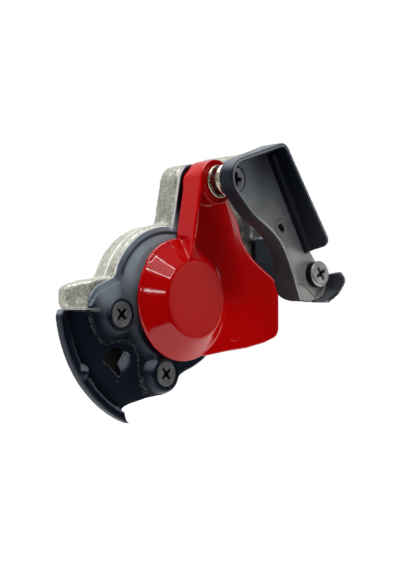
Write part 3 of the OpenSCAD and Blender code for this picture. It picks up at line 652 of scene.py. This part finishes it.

# The bracket is pressed from thick steel sheet and painted satin black: a sloping floor with a wall on
# the inner side, a flange outside and a lip that leads the mating claw in. The paint is scuffed and
# dusty towards the open end and rubbed through on the edges, and there the floor is painted paler as a
# painted reflection.
BRACKET_GRAIN = 0.0004
BRACKET_PASSES = 8
BRACKET_EASE_PASSES = 14
BRACKET_BLACK = (0.003, 0.0045, 0.012, 1)
BRACKET_SHEEN = (0.300, 0.326, 0.380, 1)
BRACKET_SCUFF_REFLECTION = (0.420, 0.430, 0.400, 1)
BRACKET_WORN = (0.22, 0.22, 0.205, 1)
BRACKET_DUST = (0.45, 0.45, 0.42, 1)
FOLDS = (((0.0466, 0.0080), (0.0526, 0.0074)), ((0.0526, 0.0074), (0.0599, 0.0020)),
         ((0.0599, 0.0020), (0.0690, 0.0100)))
FOLD_SHADE = (0.004, 0.004, 0.004, 1)
LIP_TIP = (72.6, 14.6)
LIP_FOOT = 27.0
LIP_FULLER = 0.4
LIP_CORNER = 32.8
CORNER_WAY = (0.69, 0.72)
CORNER_ROUND = 0.9
FLANGE_LINE = ((0.0312, 0, 0.0696), (0.0522, 0, 0.0275))
COIN = (0.0405, 0, 0.0330)
COIN_RADIUS = 0.0042
COIN_SLOT = ((0.0400, 0, 0.0338), (0.0412, 0, 0.0324))
COIN_SHADE = (0.004, 0.005, 0.009, 1)


def bracket_form(p):
    """Makes the free edge of the lip fuller in its middle and rounds its upper corner."""
    on_lip = step(p[:, 0], 62, 65) * step(-p[:, 1], -17, -16)
    middle = step(p[:, 1], 0, 4) * step(-p[:, 1], -14.5, -9)
    lift = LIP_FULLER * on_lip * middle * np.maximum(p[:, 2] - LIP_FOOT, 0)
    p = p + np.stack([0 * lift, 0 * lift, lift], 1)
    over = np.maximum(CORNER_WAY[0] * p[:, 1] + CORNER_WAY[1] * p[:, 2] - LIP_CORNER, 0) * on_lip
    back = over - CORNER_ROUND * (1 - np.exp(-over / CORNER_ROUND))
    return p - np.stack([0 * back, CORNER_WAY[0] * back, CORNER_WAY[1] * back], 1)


def bracket_ease(p):
    """Share of the slow rubbing: the tip of the lip."""
    d = np.hypot(p[:, 0] - LIP_TIP[0], p[:, 1] - LIP_TIP[1])
    return step(-d, -4.5, -2) * step(p[:, 2], 26, 29)


bracket_paint, tree, shader = new_material("bracket_black", Specular_IOR_Level=0.24,
                                           Specular_Tint=(0.85, 0.93, 1.0, 1))
place, axes, edge, facing = surface(tree)
skin = use(tree, grain, Place=place, Scale=450.0)

# Painted sheen, a pale colour that stands in for reflected light, on the floor and on what faces up
tray = times(tree, spread(tree, facing[1], -0.90, -0.985), spread(tree, skin["Cloud"], 0.3, 0.7, 0.75, 1.0))
up_facing_sheen = use(tree, painted_sheen_group, Place=place, Facing=facing[2], From=0.2, To=0.7)["Mask"]
up_facing_sheen = times(tree, up_facing_sheen, spread(tree, axes[0], 0.0625, 0.0660, 0.5, 0.3))
colour = blend(tree, most(tree, times(tree, tray, 0.45), up_facing_sheen), BRACKET_BLACK, BRACKET_SHEEN)

# Painted reflection and scuffs on the floor: paler towards the open end, darker along the flange as its
# painted reflection, and a painted sheen on the upper rim
scuff_and_reflection = times(tree, spread(tree, axes[2], 0.057, 0.028), spread(tree, skin["Cloud"], 0.25, 0.6, 0.55, 1.0))
beside = use(tree, line, Place=place, From=FLANGE_LINE[0], To=FLANGE_LINE[1], Width=0.0095)["Mask"]
scuff_and_reflection = times(tree, scuff_and_reflection, spread(tree, beside, 0.0, 0.8, 1.0, 0.35))
on_floor = times(tree, scuff_and_reflection, spread(tree, tray, 0.0, 0.8, 0.06, 1.0))
colour = blend(tree, on_floor, colour, BRACKET_SCUFF_REFLECTION)
rim = times(tree, spread(tree, axes[1], -0.0640, -0.0670, 0.0, 0.4), spread(tree, axes[2], 0.050, 0.060))
rim = times(tree, rim, spread(tree, axes[0], 0.034, 0.028))
colour = blend(tree, times(tree, rim, tray), colour, BRACKET_SCUFF_REFLECTION)

# Painted shade in the outline and the slot of the coined teardrop, darker on its left, rubbed edges, painted
# shade in the folds at the lip, and dust
coined = use(tree, ring, Place=place, Centre=COIN, Radius=COIN_RADIUS, Width=0.0005)["Mask"]
coined = times(tree, coined, spread(tree, axes[0], 0.0415, 0.0385, 0.1, 0.7))
slotted = use(tree, line, Place=place, From=COIN_SLOT[0], To=COIN_SLOT[1], Width=0.0016)["Mask"]
dark = times(tree, most(tree, coined, spread(tree, slotted, 0.30, 0.55)),
             spread(tree, axes[1], -0.0600, -0.0610))
colour = blend(tree, dark, colour, COIN_SHADE)
rubbed = use(tree, wear, Edge=edge, Place=place, From=0.35, To=1.3)["Mask"]
colour = blend(tree, times(tree, rubbed, 0.5), colour, BRACKET_WORN)
folds = 0.0
for (x0, z0), (x1, z1) in FOLDS:
    fold = use(tree, line, Place=place, From=(x0, 0, z0), To=(x1, 0, z1), Width=0.0006)["Mask"]
    folds = most(tree, folds, fold)
folds = times(tree, folds, spread(tree, axes[1], -0.0640, -0.0655))
colour = blend(tree, times(tree, folds, 0.6), colour, FOLD_SHADE)
dust = use(tree, specks, Place=place, Scale=260.0, Size=0.09)["Mask"]
colour = blend(tree, times(tree, dust, 0.5), colour, BRACKET_DUST)
tree.links.new(colour, shader.inputs["Base Color"])
tree.links.new(maths(tree, "ADD", spread(tree, skin["Cloud"], 0.3, 0.7, 0.34, 0.44),
                     times(tree, scuff_and_reflection, 0.1)), shader.inputs["Roughness"])
pressed = maths(tree, "SUBTRACT", times(tree, skin["Cloud"], 0.00005), times(tree, folds, 0.00016))
relief(tree, shader, pressed, 0.5, 1.0)

bracket = softened_copy("bracket", "hook_bracket", BRACKET_GRAIN, BRACKET_PASSES,
                        bracket_form, bracket_ease, BRACKET_EASE_PASSES)
dress(bracket, bracket_paint)
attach(bracket, "head")
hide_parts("bracket")

# The pivot screw clamps the bracket on the sleeve, and the detent screw sits at the open end, where
# it catches the mating claw. Both have the finish of the face screws, painted lighter on the detent
# screw as painted light.
PIVOT_FACE = (0.0125, -0.0620, 0.0525)
DETENT_FACE = (0.0603, -0.0708, 0.0125)
DETENT_NORMAL = (-0.0588, -0.9960, 0.0677)
DETENT_LIT_TONES = [(0.35, (0.30, 0.305, 0.29, 1)), (0.65, (0.56, 0.565, 0.54, 1))]
for node, name, point, normal, tones in (
        ("pivot_screw", "pivot_bolt", PIVOT_FACE, (0, -1, 0), ZINC_TONES),
        ("detent_screw", "detent_bolt", DETENT_FACE, DETENT_NORMAL, DETENT_LIT_TONES)):
    screw = softened_copy(node, name, SCREW_GRAIN, SCREW_PASSES)
    dress(screw, zinc_material(name + "_zinc", point, normal, tones))
    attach(screw, "head")
    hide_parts(node)

# A pale board lies under the part, which hangs on its port. Its front edge is a hand's breadth in
# front of the part, and the dome mirrors it.
FLOOR_HEIGHT = -0.16
FLOOR_FRONT = -0.22
FLOOR_HALF = 1.5
FLOOR_TONES = [(0.3, (0.70, 0.70, 0.70, 1)), (0.7, (0.74, 0.74, 0.73, 1))]
sheet = bpy.data.meshes.new("floor")
work = bmesh.new()
bmesh.ops.create_grid(work, x_segments=1, y_segments=1, size=FLOOR_HALF)
bmesh.ops.translate(work, verts=work.verts, vec=(0, FLOOR_HALF + FLOOR_FRONT, FLOOR_HEIGHT))
work.to_mesh(sheet)
work.free()
floor = bpy.data.objects.new("floor", sheet)
bpy.context.scene.collection.objects.link(floor)
board, tree, shader = new_material("pale_board", Roughness=0.8)
place = add(tree, "ShaderNodeTexCoord").outputs["Object"]
skin = use(tree, grain, Place=place, Scale=60.0)
tree.links.new(ramp(tree, skin["Cloud"], FLOOR_TONES), shader.inputs["Base Color"])
path = add(tree, "ShaderNodeLightPath").outputs
away = distance(tree, place, (0, 0, 0))
seen = times(tree, path["Is Camera Ray"], spread(tree, away, 0.3, 0.9, 0.30, 0.9))
level = maths(tree, "ADD", seen, times(tree, path["Is Glossy Ray"], 0.2))
shown = add(tree, "ShaderNodeEmission", {"Color": (1, 1, 1, 1), "Strength": level})
both = add(tree, "ShaderNodeAddShader", {0: shader.outputs[0], 1: shown.outputs[0]})
tree.links.new(both.outputs[0], tree.nodes["Material Output"].inputs["Surface"])
sheet.materials.append(board)

# A bright studio behind, dimmer above, and a dark room in front, where the camera stands. The black paint
# and the gloss plastic mirror it, while the camera itself sees plain white.
ROOM_DIM = 0.012
ROOM_BACK = 0.80
ROOM_TOP = 0.30
world = bpy.data.worlds.new("studio")
bpy.context.scene.world = world
world.use_nodes = True
tree = world.node_tree
tree.nodes.clear()
path = add(tree, "ShaderNodeLightPath").outputs
way = apart(tree, add(tree, "ShaderNodeTexCoord").outputs["Generated"])
level = most(tree, spread(tree, way[1], 0.10, 0.60, ROOM_DIM, ROOM_BACK),
             spread(tree, way[2], 0.50, 0.80, 0.0, ROOM_TOP))
room = add(tree, "ShaderNodeBackground", {"Color": (0.93, 0.97, 1, 1), "Strength": level}).outputs[0]
backdrop = add(tree, "ShaderNodeBackground", {"Color": (1, 1, 1, 1), "Strength": 1.0}).outputs[0]
both = add(tree, "ShaderNodeMixShader", {0: path["Is Camera Ray"], 1: room, 2: backdrop})
tree.links.new(both.outputs[0], add(tree, "ShaderNodeOutputWorld").inputs["Surface"])

# Soft lamps: a ceiling, a fill on each side and a faint one by the camera, and a low box on the right that
# the bracket's floor mirrors. Above the camera four thin tubes frame a dim window, which shows in the dome,
# and one short tube hangs lower on the left.
AIM = Vector((0.0, -0.045, 0.01))
FRAME_TOP = Vector((-0.08, -0.597, 0.797))
FRAME_FOOT = Vector((-0.34, -0.72, 0.61))
ACROSS = 0.13 * Vector((0.62, -0.65, -0.44))
TUBE_WIDTH = 0.02
TUBE_LEVEL = 20.0


def lamp(name, size, centre, level, along=(1, 0, 0), mirrored=True):
    """A rectangular lamp at a point, facing the part, its first side along a direction."""
    light = bpy.data.lights.new(name, "AREA")
    light.shape = "RECTANGLE"
    light.size, light.size_y = size
    light.energy = level * math.pi * size[0] * size[1]
    holder = bpy.data.objects.new(name, light)
    out = (Vector(centre) - AIM).normalized()
    up = out.cross(Vector(along)).normalized()
    holder.matrix_world = Matrix.Translation(centre) @ Matrix((up.cross(out), up, out)).transposed().to_4x4()
    holder.visible_glossy = mirrored
    bpy.context.scene.collection.objects.link(holder)


lamp("ceiling", (0.9, 0.8), (-0.1, 0.1, 1.0), 4.2)
lamp("right_fill", (0.30, 0.30), (0.95, -0.60, 0.02), 24.0, mirrored=False)
lamp("camera_fill", (0.9, 0.7), (-0.45, -0.85, 0.30), 0.1, mirrored=False)
lamp("left_fill", (0.6, 0.6), (-0.98, -0.02, 0.22), 2.2, mirrored=False)
lamp("right_box", (0.60, 0.115), (0.60, -0.65, 0.163), 1.7, along=(0.7, 0.7, 0))
ends = [FRAME_TOP - ACROSS, FRAME_TOP + ACROSS, FRAME_FOOT + ACROSS, FRAME_FOOT - ACROSS]
for k in range(4):
    a, b = ends[k], ends[(k + 1) % 4]
    lamp("tube_%d" % k, ((b - a).length, TUBE_WIDTH), (a + b) / 2, TUBE_LEVEL, along=b - a)
lamp("window", (2 * ACROSS.length, 0.26), sum(ends, Vector()) / 4, 1.4, along=ACROSS)
lamp("short_tube", (0.18, 0.06), (-0.60, -0.78, 0.21), 11.0, along=(0.7, -0.7, 0))

# The camera stands where the photograph was taken from, a little below the seal's axis on the left.
CAMERA_PLACE = (-0.3375, -0.3810, -0.0151)
CAMERA_AZIMUTH = math.radians(-45.72)
CAMERA_RISE = math.radians(-2.59)
back = Vector((math.sin(CAMERA_AZIMUTH) * math.cos(CAMERA_RISE),
               -math.cos(CAMERA_AZIMUTH) * math.cos(CAMERA_RISE), math.sin(CAMERA_RISE)))
lens = bpy.data.cameras.new("camera")
lens.sensor_width = 36
lens.lens = 68.9
lens.clip_start = 0.01
camera = bpy.data.objects.new("camera", lens)
camera.location = CAMERA_PLACE
camera.rotation_mode = "QUATERNION"
camera.rotation_quaternion = (-back).to_track_quat("-Z", "Y")
bpy.context.scene.collection.objects.link(camera)
bpy.context.scene.camera = camera
bpy.context.scene.view_settings.view_transform = "Standard"
